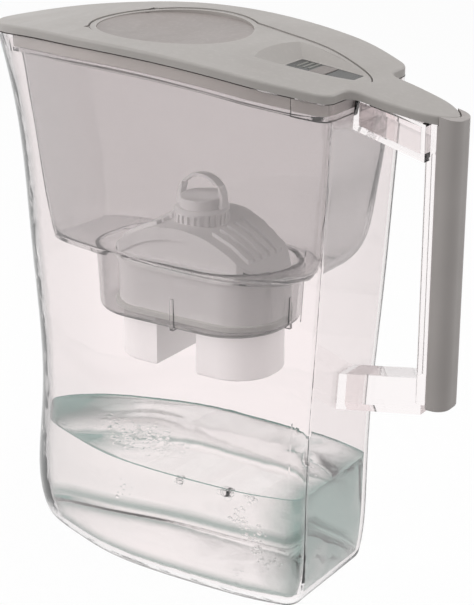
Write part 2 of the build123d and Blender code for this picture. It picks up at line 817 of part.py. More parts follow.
def make_cartridge_cap():
    base_z = cup_rim_z
    plate = column(cup_plan(cup_flange), base_z, base_z + arch_t)
    cap = plate + arch_solid(arch_r, base_z, arch_half_y)
    cap &= column(cup_plan(cup_flange), base_z)
    cap -= arch_solid(arch_r - arch_t, base_z - 1, arch_half_y - arch_t)
    face_cut = arch_solid(end_recess_r, base_z + arch_t, arch_half_y + 1)
    face_cut -= arch_solid(end_recess_r + 1, base_z, arch_half_y - end_recess_depth)
    cap -= face_cut
    band = arch_solid(arch_r + ridge_proud, base_z + arch_t, arch_half_y) - arch_solid(
        arch_r - arch_t / 2, base_z, arch_half_y + 1)
    for index in range(ridge_count):
        y = (index - (ridge_count - 1) / 2) * ridge_pitch
        for side in (-1, 1):
            x = cup_x + side * (ridge_from + ridge_to) / 2
            window = Pos(x, y, base_z + 20) * Box(ridge_to - ridge_from, ridge_w, 60)
            cap += band & window
    return cap - Pos(cup_x, 0, arch_top_z) * Cylinder(collar_r - collar_wall, 20)


def make_inlet_collar():
    height = collar_top_z - collar_bottom_z
    middle = (collar_top_z + collar_bottom_z) / 2
    ring = Pos(cup_x, 0, middle) * Cylinder(collar_r, height)
    ring = chamfer(ring.edges().group_by(Axis.Z)[-1], collar_chamfer)
    ring -= Pos(cup_x, 0, middle) * Cylinder(collar_r - collar_wall, height + 2)
    slot_h = height - collar_slot_low - collar_slot_high
    slot_z = middle + (collar_slot_low - collar_slot_high) / 2
    for place in PolarLocations(collar_r, collar_slots):
        slot = Pos(cup_x, 0, slot_z) * place * Box(2 * collar_slot_depth, collar_slot_w, slot_h)
        ring -= slot
    return ring - arch_solid(arch_r, cup_rim_z, arch_half_y)


def make_collar_cap():
    low = collar_top_z - cap_plug
    cap = Pos(cup_x, 0, (low + cap_top_z) / 2) * Cylinder(cap_r, cap_top_z - low)
    cap = fillet(cap.edges().group_by(Axis.Z)[-1], cap_edge_r)
    well = Pos(cup_x, 0, low) * Cylinder(cap_r - cap_wall, 2 * (cap_top_z - low - cap_top_t))
    return cap - well


def make_pull_loop():
    ring = Circle(loop_r) - Circle(loop_r - loop_t)
    keep = Pos(0, loop_r / 2) * Rectangle(2 * loop_r, loop_r)
    foot_low = collar_top_z - loop_centre_z
    profile = ring & keep
    for side in (-1, 1):
        foot = Pos(side * (loop_r - loop_t / 2), foot_low / 2) * Rectangle(loop_t, -foot_low)
        profile += foot
        pad = loop_r - cap_r
        profile += Pos(side * (cap_r + pad / 2), foot_low + loop_pad_t / 2) * Rectangle(pad, loop_pad_t)
    loop = extrude(Plane.XZ * Pos(cup_x, loop_centre_z) * profile, amount=loop_w / 2, both=True)
    return loop - Pos(cup_x, 0, collar_top_z) * Cylinder(cap_r, 20)


def make_inlet_screen():
    z = carbon_top_z + mesh_t / 2
    return Pos(cup_x, 0, z) * Cylinder(collar_r + mesh_overlap, mesh_t)


def make_carbon_bed():
    return column(cup_plan(-cup_wall), cup_shoulder_z + cup_wall + mesh_t, carbon_top_z)


def make_bed_screen():
    low = cup_shoulder_z + cup_wall
    return column(cup_plan(-cup_wall), low, low + mesh_t)


def make_resin_beds():
    return leg_solids(cup_wall, leg_bottom_z + cup_wall + mesh_t, cup_shoulder_z + cup_wall)


def make_outlet_screens():
    low = leg_bottom_z + cup_wall
    return leg_solids(cup_wall, low, low + mesh_t)


# ---------------------------------------------------------------- files
def main():
    os.makedirs("parts", exist_ok=True)
    nodes = {
        "jug_shell": make_jug_shell,
        "handle_frame": make_handle_frame,
        "grip_cover": make_grip_cover,
        "reservoir_shell": make_reservoir_shell,
        "seat_seal": make_seat_seal,
        "cartridge_cup": make_cartridge_cup,
        "cartridge_cap": make_cartridge_cap,
        "inlet_collar": make_inlet_collar,
        "collar_cap": make_collar_cap,
        "pull_loop": make_pull_loop,
        "inlet_screen": make_inlet_screen,
        "carbon_bed": make_carbon_bed,
        "bed_screen": make_bed_screen,
        "resin_beds": make_resin_beds,
        "outlet_screens": make_outlet_screens,
        "lid_shell": make_lid_shell,
        "lid_skirt": make_lid_skirt,
        "hinge_pins": make_hinge_pins,
        "flip_panel": make_flip_panel,
        "dish_insert": make_dish_insert,
        "indicator_case": make_indicator_case,
        "indicator_lens": make_indicator_lens,
        "indicator_board": make_indicator_board,
        "display_panel": make_display_panel,
        "button_switch": make_button_switch,
        "reset_button": make_reset_button,
        "coin_cell": make_coin_cell,
        "battery_door": make_battery_door,
    }
    for name, make in nodes.items():
        export_step(make(), f"parts/{name}.step")


if __name__ == "__main__":
    main()
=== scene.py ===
import json
import math

import bmesh
import bpy
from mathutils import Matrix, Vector


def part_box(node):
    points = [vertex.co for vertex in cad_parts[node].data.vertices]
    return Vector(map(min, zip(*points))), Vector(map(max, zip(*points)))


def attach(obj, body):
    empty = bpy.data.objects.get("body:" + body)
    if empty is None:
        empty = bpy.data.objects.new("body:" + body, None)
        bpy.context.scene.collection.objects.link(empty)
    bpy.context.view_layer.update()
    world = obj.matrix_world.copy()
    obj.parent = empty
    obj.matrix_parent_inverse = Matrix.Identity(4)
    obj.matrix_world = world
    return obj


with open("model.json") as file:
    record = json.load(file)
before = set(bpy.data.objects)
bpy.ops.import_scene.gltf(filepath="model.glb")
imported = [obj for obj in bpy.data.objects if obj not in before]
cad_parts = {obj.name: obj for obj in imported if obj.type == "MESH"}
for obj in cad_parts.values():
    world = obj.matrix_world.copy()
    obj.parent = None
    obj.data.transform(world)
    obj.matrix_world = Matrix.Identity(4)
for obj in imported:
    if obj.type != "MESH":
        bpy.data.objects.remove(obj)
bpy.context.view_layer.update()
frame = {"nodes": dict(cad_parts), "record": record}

# ---------------------------------------------------------------- sizes, in metres
water_level = 0.0588
water_gap = 0.00015         # between the water and the jug's wall
water_middle = Vector((-0.012, 0.0, 0.0))   # the rings of its top shrink towards here
weld_distance = 1e-6        # corners of the jug closer than this are one corner
rim_angle = math.radians(32)    # edges of the water steeper than this are kept sharp
meniscus_height = 0.0007    # how far the water climbs the wall
meniscus_reach = 0.0016
ripple_height = 0.0004
ripple_start = 0.004        # the ripples begin this far from the wall
ripple_reach = 0.022        # and fade over this distance from where water fell in
swell_share = 0.35          # a slow swell, as a share of the ripples
ripple_sources = [((-0.040, -0.012), 0.011, 1.0), ((0.052, 0.004), 0.015, 0.45)]   # place, length, share

# where the water looks green: from nothing to full
nose_green = (-0.062, -0.088)   # along X, at the surface
back_green = (0.046, 0.066)     # along X
foot_green = (0.0125, 0.0085)   # above the base
rim_green = (water_level + 0.00022, water_level + 0.00035)
green_drift = 0.016         # how far noise moves the first two

mark_length = 0.0100        # pale bars in the indicator's window
mark_width = 0.0013
mark_height = 0.00012
mark_places = (0.0443, 0.0473, 0.0503)
mark_y = 0.003
window_thickness = 0.0012
surface_rings = [0.997, 0.993, 0.985, 0.97, 0.95] + [0.92 - 0.03 * k for k in range(30)]
bubble_seed = 7
bubble_smallest = 0.25      # as a share of the largest in its group
bubble_sink = 0.4           # of a bubble's radius under the surface
bubble_off_wall = 1.15      # radii between a bubble's middle and the water's side
golden_angle = math.pi * (3 - math.sqrt(5))

# where groups of bubbles sit: middle, radius of the group, how many, largest bubble
surface_bubbles = [
    ((-0.062, -0.002), 0.010, 26, 0.0016),
    ((-0.040, -0.012), 0.016, 60, 0.0019),
    ((-0.020, -0.016), 0.012, 30, 0.0016),
    ((-0.084, -0.018), 0.006, 12, 0.0011),
    ((0.058, 0.006), 0.010, 12, 0.0012),
]
wall_bubbles = [
    ((0.004, 0.0575), 0.004, 5, 0.0022),
    ((0.031, 0.0575), 0.005, 7, 0.0024),
    ((0.043, 0.0580), 0.005, 7, 0.0022),
    ((0.038, 0.0450), 0.006, 16, 0.0013),
    ((0.045, 0.0350), 0.008, 18, 0.0015),
    ((0.052, 0.0240), 0.008, 14, 0.0014),
    ((-0.030, 0.0420), 0.007, 9, 0.0012),
    ((0.036, 0.0130), 0.006, 7, 0.0012),
]

# stage
floor_half = 9.0
floor_glow = 1.06           # with the light on the floor this gives white
floor_glow_share = 0.88
world_light = 0.38
camera_turn = math.radians(33.61)
camera_lift = math.radians(20.34)
camera_distance = 0.8842
camera_aim = Vector((-0.0005, 0.0, 0.130))
camera_lens_mm = 107.1
camera_shift = (0.033, 0.017)
# lamps: name, place, what it points at, width, watts
lamps = [
    ("overhead", (0.2, -0.1, 1.5), (0, 0, 0.1), 1.4, 7.6),
    ("front_left", (-1.1, -1.1, 0.9), (0, 0, 0.15), 0.8, 8.5),
    ("back_right", (0.9, 1.2, 0.8), (0, 0, 0.15), 0.8, 4.0),
]


# ---------------------------------------------------------------- colours and nodes
def shade(red, green, blue):
    """A colour as it looks on a screen, 0 to 255, made linear."""
    def linear(value):
        value /= 255
        return value / 12.92 if value <= 0.04045 else ((value + 0.055) / 1.055)**2.4
    return (linear(red), linear(green), linear(blue), 1.0)


lid_grey = shade(180, 175, 171)
lid_grey_deep = shade(172, 167, 163)
dish_grey = shade(160, 151, 148)
dish_grey_deep = shade(152, 144, 141)
grip_grey = shade(179, 173, 170)
grip_grey_deep = shade(171, 165, 162)
skirt_grey = shade(172, 168, 164)
skirt_grey_deep = shade(158, 153, 149)
cartridge_white = shade(250, 249, 249)
cartridge_white_deep = shade(244, 242, 242)


def add(tree, kind, **settings):
    node = tree.nodes.new(kind)
    for name, value in settings.items():
        setattr(node, name, value)
    return node


def sum_of(tree, operation, first, second=None, clamp=False):
    """A maths node; its inputs are sockets or numbers."""
    node = add(tree, "ShaderNodeMath", operation=operation, use_clamp=clamp)
    for place, value in enumerate((first, second)):
        if value is None:
            continue
        if isinstance(value, (int, float)):
            node.inputs[place].default_value = value
        else:
            tree.links.new(value, node.inputs[place])
    return node.outputs[0]


def spread(tree, value, low, high, to_low=0.0, to_high=1.0):
    """Map a value from one range to another, held at the ends."""
    node = add(tree, "ShaderNodeMapRange", clamp=True)
    tree.links.new(value, node.inputs["Value"])
    for name, number in (("From Min", low), ("From Max", high), ("To Min", to_low), ("To Max", to_high)):
        node.inputs[name].default_value = number
    return node.outputs["Result"]


def blend_colours(tree, share, first, second):
    """A colour between two; each is a socket or a colour."""
    node = add(tree, "ShaderNodeMix", data_type="RGBA")
    tree.links.new(share, node.inputs["Factor"])
    for name, colour in (("A", first), ("B", second)):
        socket = [s for s in node.inputs if s.name == name and s.type == "RGBA"][0]
        if isinstance(colour, tuple):
            socket.default_value = colour
        else:
            tree.links.new(colour, socket)
    return [s for s in node.outputs if s.type == "RGBA"][0]


def new_effect(name, inputs, outputs):
    """An empty shader node group; every input and output is a number."""
    tree = bpy.data.node_groups.new(name, "ShaderNodeTree")
    for label, value in inputs.items():
        socket = tree.interface.new_socket(name=label, in_out="INPUT", socket_type="NodeSocketFloat")
        socket.default_value = value
    for label in outputs:
        tree.interface.new_socket(name=label, in_out="OUTPUT", socket_type="NodeSocketFloat")
    return tree, add(tree, "NodeGroupInput"), add(tree, "NodeGroupOutput")


def clouds(tree, scale, detail=3.0, stretch=None):
    """Noise on the piece's own coordinates."""
    place = add(tree, "ShaderNodeTexCoord").outputs["Object"]
    if stretch:
        mapping = add(tree, "ShaderNodeMapping")
        mapping.inputs["Scale"].default_value = stretch
        tree.links.new(place, mapping.inputs["Vector"])
        place = mapping.outputs["Vector"]
    node = add(tree, "ShaderNodeTexNoise")
    node.inputs["Detail"].default_value = detail
    tree.links.new(place, node.inputs["Vector"])
    if isinstance(scale, (int, float)):
        node.inputs["Scale"].default_value = scale
    else:
        tree.links.new(scale, node.inputs["Scale"])
    return node.outputs["Fac"]


# ---------------------------------------------------------------- shared effects
def make_moulded_grain():
    """Fine spark-eroded grain, with slow changes of tone over the surface."""
    scales = {"Grain Scale": 2600.0, "Flow Scale": 22.0}
    tree, start, end = new_effect("moulded_grain", scales, ["Grain", "Flow"])
    tree.links.new(clouds(tree, start.outputs["Grain Scale"], 4.0), end.inputs["Grain"])
    flow = clouds(tree, start.outputs["Flow Scale"], 3.0)
    tree.links.new(spread(tree, flow, 0.3, 0.7), end.inputs["Flow"])
    return tree


def make_rubbed_edges():
    """Where hands rub: a mask that is high along outer edges, broken up by noise."""
    tree, start, end = new_effect("rubbed_edges", {"Width": 0.0012}, ["Edge"])
    bevel = add(tree, "ShaderNodeBevel", samples=4)
    tree.links.new(start.outputs["Width"], bevel.inputs["Radius"])
    flat = add(tree, "ShaderNodeNewGeometry").outputs["Normal"]
    likeness = add(tree, "ShaderNodeVectorMath", operation="DOT_PRODUCT")
    tree.links.new(bevel.outputs["Normal"], likeness.inputs[0])
    tree.links.new(flat, likeness.inputs[1])
    edge = spread(tree, likeness.outputs["Value"], 0.995, 0.80)
    broken = spread(tree, clouds(tree, 240.0, 5.0), 0.35, 0.65, 0.4, 1.0)
    tree.links.new(sum_of(tree, "MULTIPLY", edge, broken), end.inputs["Edge"])
    return tree


def make_handling():
    """Faint wiping streaks and finger marks that change the gloss."""
    tree, start, end = new_effect("handling", {"Amount": 1.0}, ["Marks"])
    streaks = spread(tree, clouds(tree, 90.0, 6.0, (1.0, 0.25, 0.12)), 0.45, 0.75)
    smears = spread(tree, clouds(tree, 38.0, 2.0), 0.45, 0.75)
    both = sum_of(tree, "MAXIMUM", streaks, smears)
    tree.links.new(sum_of(tree, "MULTIPLY", both, start.outputs["Amount"]), end.inputs["Marks"])
    return tree


def make_settled_dust():
    """A little dust on what faces up."""
    tree, start, end = new_effect("settled_dust", {"Amount": 0.15}, ["Dust"])
    split = add(tree, "ShaderNodeSeparateXYZ")
    tree.links.new(add(tree, "ShaderNodeNewGeometry").outputs["Normal"], split.inputs[0])
    up = spread(tree, split.outputs["Z"], 0.5, 1.0)
    specks = spread(tree, clouds(tree, 420.0, 6.0), 0.50, 0.72)
    fall = sum_of(tree, "MULTIPLY", up, specks)
    tree.links.new(sum_of(tree, "MULTIPLY", fall, start.outputs["Amount"]), end.inputs["Dust"])
    return tree


moulded_grain = make_moulded_grain()
rubbed_edges = make_rubbed_edges()
handling = make_handling()
settled_dust = make_settled_dust()


def use(tree, effect, **values):
    """Place a shared effect in a material, with its own values."""
    node = add(tree, "ShaderNodeGroup", node_tree=effect)
    for name, value in values.items():
        node.inputs[name.replace("_", " ")].default_value = value
    return node.outputs


# ---------------------------------------------------------------- materials
def new_finish(name):
    material = bpy.data.materials.new(name)
    material.use_nodes = True
    tree = material.node_tree
    tree.nodes.clear()
    shader = add(tree, "ShaderNodeBsdfPrincipled")
    end = add(tree, "ShaderNodeOutputMaterial")
    tree.links.new(shader.outputs["BSDF"], end.inputs["Surface"])
    return material, tree, shader, end


def add_bump(tree, shader, height, strength, depth):
    bump = add(tree, "ShaderNodeBump")
    bump.inputs["Strength"].default_value = strength
    bump.inputs["Distance"].default_value = depth
    tree.links.new(height, bump.inputs["Height"])
    tree.links.new(bump.outputs["Normal"], shader.inputs["Normal"])


def let_light_through(tree, shader, end, shadow):
    """Shadow rays pass the material with the shadow colour."""
    passing = add(tree, "ShaderNodeBsdfTransparent")
    passing.inputs["Color"].default_value = shadow
    choice = add(tree, "ShaderNodeMixShader")
    tree.links.new(add(tree, "ShaderNodeLightPath").outputs["Is Shadow Ray"], choice.inputs[0])
    tree.links.new(shader.outputs["BSDF"], choice.inputs[1])
    tree.links.new(passing.outputs["BSDF"], choice.inputs[2])
    tree.links.new(choice.outputs["Shader"], end.inputs["Surface"])


def seen_edge_on(tree, power):
    """A share that is high where the surface turns away from the view."""
    slant = add(tree, "ShaderNodeLayerWeight")
    slant.inputs["Blend"].default_value = 0.5
    return sum_of(tree, "POWER", slant.outputs["Facing"], power)


def moulded_finish(name, light, deep, rough=0.42, soft=0.0):
    """Opaque moulded plastic: grain, slow tone changes, rubbed edges, wiping marks and dust."""
    material, tree, shader, end = new_finish(name)
    grain = use(tree, moulded_grain)
    rub = use(tree, rubbed_edges)["Edge"]
    marks = use(tree, handling)["Marks"]
    dust = use(tree, settled_dust, Amount=0.12)["Dust"]
    colour = blend_colours(tree, grain["Flow"], light, deep)
    paler = tuple(min(1.0, c * 1.25 + 0.02) for c in light[:3]) + (1.0,)
    colour = blend_colours(tree, sum_of(tree, "MULTIPLY", rub, 0.35), colour, paler)
    colour = blend_colours(tree, dust, colour, shade(214, 210, 204))
    tree.links.new(colour, shader.inputs["Base Color"])
    gloss = sum_of(tree, "MULTIPLY_ADD", marks, 0.10)
    gloss.node.inputs[2].default_value = rough
    gloss = sum_of(tree, "SUBTRACT", gloss, sum_of(tree, "MULTIPLY", rub, 0.12))
    tree.links.new(gloss, shader.inputs["Roughness"])
    shader.inputs["Subsurface Weight"].default_value = soft
    shader.inputs["Subsurface Radius"].default_value = (0.004, 0.004, 0.004)
    shader.inputs["IOR"].default_value = 1.49
    add_bump(tree, shader, grain["Grain"], 0.35, 0.00003)
    return material


def clear_finish(name, facing, edge_on, power=2.2, ior=1.49, shadow=(0.93, 0.92, 0.92, 1.0), rough=0.012):
    """See-through plastic: darker where it is seen edge on, with faint flow lines and wiping marks."""
    material, tree, shader, end = new_finish(name)
    share = seen_edge_on(tree, power)
    grain = use(tree, moulded_grain, Grain_Scale=70.0, Flow_Scale=9.0)
    tinted = tuple(c * 0.985 for c in facing[:3]) + (1.0,)
    body = blend_colours(tree, grain["Flow"], facing, tinted)
    tree.links.new(blend_colours(tree, share, body, edge_on), shader.inputs["Base Color"])
    marks = use(tree, handling)["Marks"]
    gloss = sum_of(tree, "MULTIPLY_ADD", marks, 0.02)
    gloss.node.inputs[2].default_value = rough
    tree.links.new(gloss, shader.inputs["Roughness"])
    shader.inputs["Transmission Weight"].default_value = 1.0
    shader.inputs["IOR"].default_value = ior
    shader.inputs["Specular IOR Level"].default_value = 0.35
    add_bump(tree, shader, grain["Grain"], 0.05, 0.0002)
    let_light_through(tree, shader, end, shadow)
    return material


def granule_finish(name, light, deep, scale):
    """A bed of granules or beads."""
    material, tree, shader, end = new_finish(name)
    cells = add(tree, "ShaderNodeTexVoronoi")
    cells.inputs["Scale"].default_value = scale
    tree.links.new(add(tree, "ShaderNodeTexCoord").outputs["Object"], cells.inputs["Vector"])
    tone = spread(tree, clouds(tree, scale * 0.8, 2.0), 0.3, 0.7)
    tree.links.new(blend_colours(tree, tone, light, deep), shader.inputs["Base Color"])
    tree.links.new(spread(tree, tone, 0.0, 1.0, 0.45, 0.8), shader.inputs["Roughness"])
    add_bump(tree, shader, cells.outputs["Distance"], 0.8, 0.0006)
    return material


def metal_finish(name, tone, rough):
    """Drawn or pressed steel with fine lines."""
    material, tree, shader, end = new_finish(name)
    lines = clouds(tree, 900.0, 5.0, (1.0, 0.05, 1.0))
    deep = tuple(c * 0.8 for c in tone[:3]) + (1.0,)
    tree.links.new(blend_colours(tree, lines, tone, deep), shader.inputs["Base Color"])
    tree.links.new(spread(tree, lines, 0.2, 0.8, rough, rough + 0.2), shader.inputs["Roughness"])
    shader.inputs["Metallic"].default_value = 1.0
    add_bump(tree, shader, lines, 0.2, 0.00002)
    return material


def mesh_finish(name, light, deep):
    """Fine woven screen."""
    material, tree, shader, end = new_finish(name)
    weave = add(tree, "ShaderNodeTexWave", wave_type="BANDS", bands_direction="DIAGONAL")
    weave.inputs["Scale"].default_value = 420.0
    tree.links.new(add(tree, "ShaderNodeTexCoord").outputs["Object"], weave.inputs["Vector"])
    tree.links.new(blend_colours(tree, weave.outputs["Fac"], light, deep), shader.inputs["Base Color"])
    tree.links.new(spread(tree, weave.outputs["Fac"], 0.0, 1.0, 0.4, 0.7), shader.inputs["Roughness"])
    add_bump(tree, shader, weave.outputs["Fac"], 0.5, 0.0001)
    return material


def window_finish():
    """Dark smoked window of the indicator."""
    material, tree, shader, end = new_finish("dark_window")
    grain = use(tree, moulded_grain, Grain_Scale=300.0, Flow_Scale=60.0)
    tone = blend_colours(tree, grain["Flow"], shade(44, 44, 42), shade(34, 36, 35))
    tree.links.new(tone, shader.inputs["Base Color"])
    marks = use(tree, handling)["Marks"]
    tree.links.new(spread(tree, marks, 0.0, 1.0, 0.22, 0.34), shader.inputs["Roughness"])
    shader.inputs["Specular IOR Level"].default_value = 0.3
    add_bump(tree, shader, grain["Grain"], 0.05, 0.0001)
    return material


def water_finish():
    """Clear water: green seen edge on, at both ends of the jug, along its rim and above the foot."""
    material, tree, shader, end = new_finish("filtered_water")
    share = seen_edge_on(tree, 7.5)
    flow = use(tree, moulded_grain, Grain_Scale=55.0, Flow_Scale=26.0)
    place = add(tree, "ShaderNodeSeparateXYZ")
    tree.links.new(add(tree, "ShaderNodeTexCoord").outputs["Object"], place.inputs[0])
    facing_up = add(tree, "ShaderNodeSeparateXYZ")
    tree.links.new(add(tree, "ShaderNodeNewGeometry").outputs["Normal"], facing_up.inputs[0])
    drift = sum_of(tree, "MULTIPLY", flow["Grain"], green_drift)
    along = sum_of(tree, "SUBTRACT", sum_of(tree, "ADD", place.outputs["X"], drift), green_drift / 2)
    on_top = spread(tree, facing_up.outputs["Z"], 0.2, 0.6)
    on_side = spread(tree, sum_of(tree, "ABSOLUTE", facing_up.outputs["Z"]), 0.75, 0.35)
    nose = sum_of(tree, "MULTIPLY", spread(tree, along, *nose_green), on_top)
    back = spread(tree, along, *back_green, 0.0, 0.95)
    foot = sum_of(tree, "MULTIPLY", spread(tree, place.outputs["Z"], *foot_green, 0.0, 0.85), on_side)
    rim = spread(tree, place.outputs["Z"], *rim_green)
    ends = sum_of(tree, "MAXIMUM", nose, back)
    edges = sum_of(tree, "MAXIMUM", foot, rim)
    body = blend_colours(tree, flow["Flow"], shade(254, 255, 254), shade(249, 252, 251))
    body = blend_colours(tree, sum_of(tree, "MAXIMUM", ends, edges), body, shade(62, 106, 96))
    tree.links.new(blend_colours(tree, share, body, shade(30, 86, 74)), shader.inputs["Base Color"])
    tree.links.new(spread(tree, flow["Flow"], 0.0, 1.0, 0.0, 0.012), shader.inputs["Roughness"])
    shader.inputs["Transmission Weight"].default_value = 1.0
    shader.inputs["IOR"].default_value = 1.33
    add_bump(tree, shader, flow["Grain"], 0.12, 0.0006)
    let_light_through(tree, shader, end, shade(242, 247, 245))
    return material


finishes = {
    "clear_plastic": clear_finish(
        "clear_plastic", shade(253, 248, 248), shade(66, 59, 58), power=2.9, shadow=(1, 1, 1, 1)),
    "smoke_plastic": clear_finish(
        "smoke_plastic", shade(226, 225, 225), shade(34, 32, 31), power=2.5, shadow=(1, 1, 1, 1)),
    "warm_grey_plastic": moulded_finish("warm_grey_plastic", lid_grey, lid_grey_deep),
    "mid_grey_plastic": moulded_finish("mid_grey_plastic", dish_grey, dish_grey_deep),
    "dark_grey_plastic": moulded_finish("dark_grey_plastic", skirt_grey, skirt_grey_deep, rough=0.5),
    "white_plastic": moulded_finish("white_plastic", cartridge_white, cartridge_white_deep, rough=0.38),
    "silicone": moulded_finish(
        "silicone", shade(222, 222, 218), shade(210, 210, 206), rough=0.55, soft=0.3),
    "filter_mesh": mesh_finish("filter_mesh", shade(214, 214, 210), shade(170, 170, 166)),
    "carbon_granules": granule_finish("carbon_granules", shade(66, 66, 66), shade(30, 30, 30), 900.0),
    "resin_beads": granule_finish("resin_beads", shade(214, 184, 132), shade(176, 140, 92), 1200.0),
    "steel_pin": metal_finish("steel_pin", shade(206, 206, 206), 0.25),
    "cell_steel": metal_finish("cell_steel", shade(212, 212, 210), 0.3),
    "dark_window": window_finish(),
    "display_glass": moulded_finish(
        "display_glass", shade(150, 160, 150), shade(140, 150, 140), rough=0.2),
    "circuit_board": granule_finish("circuit_board", shade(50, 104, 70), shade(36, 84, 54), 500.0),
    "key_rubber": moulded_finish("key_rubber", shade(144, 136, 133), shade(134, 127, 124), rough=0.5),
}
grip_finish = moulded_finish("grip_plastic", grip_grey, grip_grey_deep, rough=0.46)
mark_finish = moulded_finish("pale_marks", shade(132, 132, 126), shade(116, 116, 110), rough=0.5)
water = water_finish()
bubble_finish = clear_finish(
    "bubble_skin", shade(255, 255, 255), shade(190, 205, 200), power=3.0, ior=1.12, shadow=(1, 1, 1, 1))


def dress_nodes():
    """Give every CAD node the finish of its material slot."""
    for part in frame["record"]["subparts"]:
        node = frame["nodes"][part["node"]]
        finish = grip_finish if part["node"] == "grip_cover" else finishes[part["material_slot"]]
        node.data.materials.clear()
        node.data.materials.append(finish)


# ---------------------------------------------------------------- small helpers for pieces
def new_piece(name, mesh_builder, material, body, smooth=True):
    """Make a mesh object from a bmesh and let it ride on a body."""
    mesh = bpy.data.meshes.new(name)
    mesh_builder.to_mesh(mesh)
    mesh_builder.free()
    piece = bpy.data.objects.new(name, mesh)
    bpy.context.scene.collection.objects.link(piece)
    piece.data.materials.append(material)
    if smooth:
        piece.data.shade_smooth()
    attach(piece, body)
    return piece


def node_tree_modifier(name, carrier, tree, values):
    """Run a geometry node tree on a mesh and return the result as a plain object."""
    modifier = carrier.modifiers.new(name, "NODES")
    modifier.node_group = tree
    for item in tree.interface.items_tree:
        if item.in_out == "INPUT" and item.name in values:
            modifier[item.identifier] = values[item.name]
    bpy.context.view_layer.update()
    seen = carrier.evaluated_get(bpy.context.evaluated_depsgraph_get())
    mesh = bpy.data.meshes.new_from_object(seen)
    bpy.data.objects.remove(carrier)
    piece = bpy.data.objects.new(name, mesh)
    bpy.context.scene.collection.objects.link(piece)
    return piece


def new_rule(name, inputs):
    """An empty geometry node tree: inputs are name, kind and value."""
    tree = bpy.data.node_groups.new(name, "GeometryNodeTree")
    tree.interface.new_socket(name="Geometry", in_out="INPUT", socket_type="NodeSocketGeometry")
    for label, kind, value in inputs:
        socket = tree.interface.new_socket(name=label, in_out="INPUT", socket_type=kind)
        if value is not None:
            socket.default_value = value
    tree.interface.new_socket(name="Geometry", in_out="OUTPUT", socket_type="NodeSocketGeometry")
    return tree, add(tree, "NodeGroupInput"), add(tree, "NodeGroupOutput")


# ---------------------------------------------------------------- water and bubbles
def islands(builder):
    """The connected parts of a mesh, as sets of vertices."""
    left, found = set(builder.verts), []
    while left:
        group, border = set(), [left.pop()]
        while border:
            vertex = border.pop()
            group.add(vertex)
            for edge in vertex.link_edges:
                other = edge.other_vert(vertex)
                if other in left:
                    left.remove(other)
                    border.append(other)
        found.append(group)
    return found


def make_water():
    """The jug's own hollow up to the water level, a hair's breadth smaller than the wall."""
    builder = bmesh.new()
    builder.from_mesh(frame["nodes"]["jug_shell"].data)
    bmesh.ops.remove_doubles(builder, verts=builder.verts, dist=weld_distance)
    everything = builder.verts[:] + builder.edges[:] + builder.faces[:]
    bmesh.ops.bisect_plane(
        builder, geom=everything, plane_co=(0, 0, water_level), plane_no=(0, 0, 1), clear_outer=True)
    skins = sorted(islands(builder), key=lambda skin: max(v.co.y for v in skin))
    outside = [v for skin in skins[1:] for v in skin]
    bmesh.ops.delete(builder, geom=outside, context="VERTS")
    bmesh.ops.reverse_faces(builder, faces=builder.faces)
    builder.normal_update()
    for vertex in builder.verts:
        vertex.co -= vertex.normal * water_gap
    fill_top(builder, [e for e in builder.edges if e.is_boundary])
    bmesh.ops.recalc_face_normals(builder, faces=builder.faces)
    for edge in builder.edges:
        edge.smooth = edge.calc_face_angle(0.0) < rim_angle
    return new_piece("water", builder, water, "jug")


def surface_height(x, y, from_wall):
    """Height of the water: it climbs the wall, and ripples spread from where water fell in."""
    climb = meniscus_height * math.exp(-from_wall / meniscus_reach)
    free = 1 - math.exp(-from_wall / ripple_start)
    lift = 0.0
    for (cx, cy), length, share in ripple_sources:
        reach = math.hypot(x - cx, y - cy)
        lift += share * math.sin(2 * math.pi * reach / length) * math.exp(-reach / ripple_reach)
    swell = swell_share * math.sin(x / 0.0105 + 1.3 * math.sin(y / 0.014)) * math.sin(y / 0.009 + x / 0.03)
    return water_level + climb + ripple_height * free * (lift + swell)


def fill_top(builder, rim):
    """Close the water with rings of faces that shrink towards its middle."""
    corners = {}
    for edge in rim:
        for vertex in edge.verts:
            corners.setdefault(vertex, []).append(edge.other_vert(vertex))
    loop, last = [next(iter(corners))], None
    while True:
        ways = [v for v in corners[loop[-1]] if v is not last]
        last = loop[-1]
        if ways[0] is loop[0]:
            break
        loop.append(ways[0])
    outer = [v.co.copy() for v in loop]
    for vertex in loop:
        vertex.co.z = water_level + meniscus_height
    ring = loop
    for share in surface_rings:
        fresh = []
        for place in outer:
            x = water_middle.x + (place.x - water_middle.x) * share
            y = water_middle.y + (place.y - water_middle.y) * share
            away = math.hypot(place.x - x, place.y - y)
            fresh.append(builder.verts.new((x, y, surface_height(x, y, away))))
        for index in range(len(ring)):
            after = (index + 1) % len(ring)
            builder.faces.new([ring[index], ring[after], fresh[after], fresh[index]])
        ring = fresh
    builder.faces.new(ring)


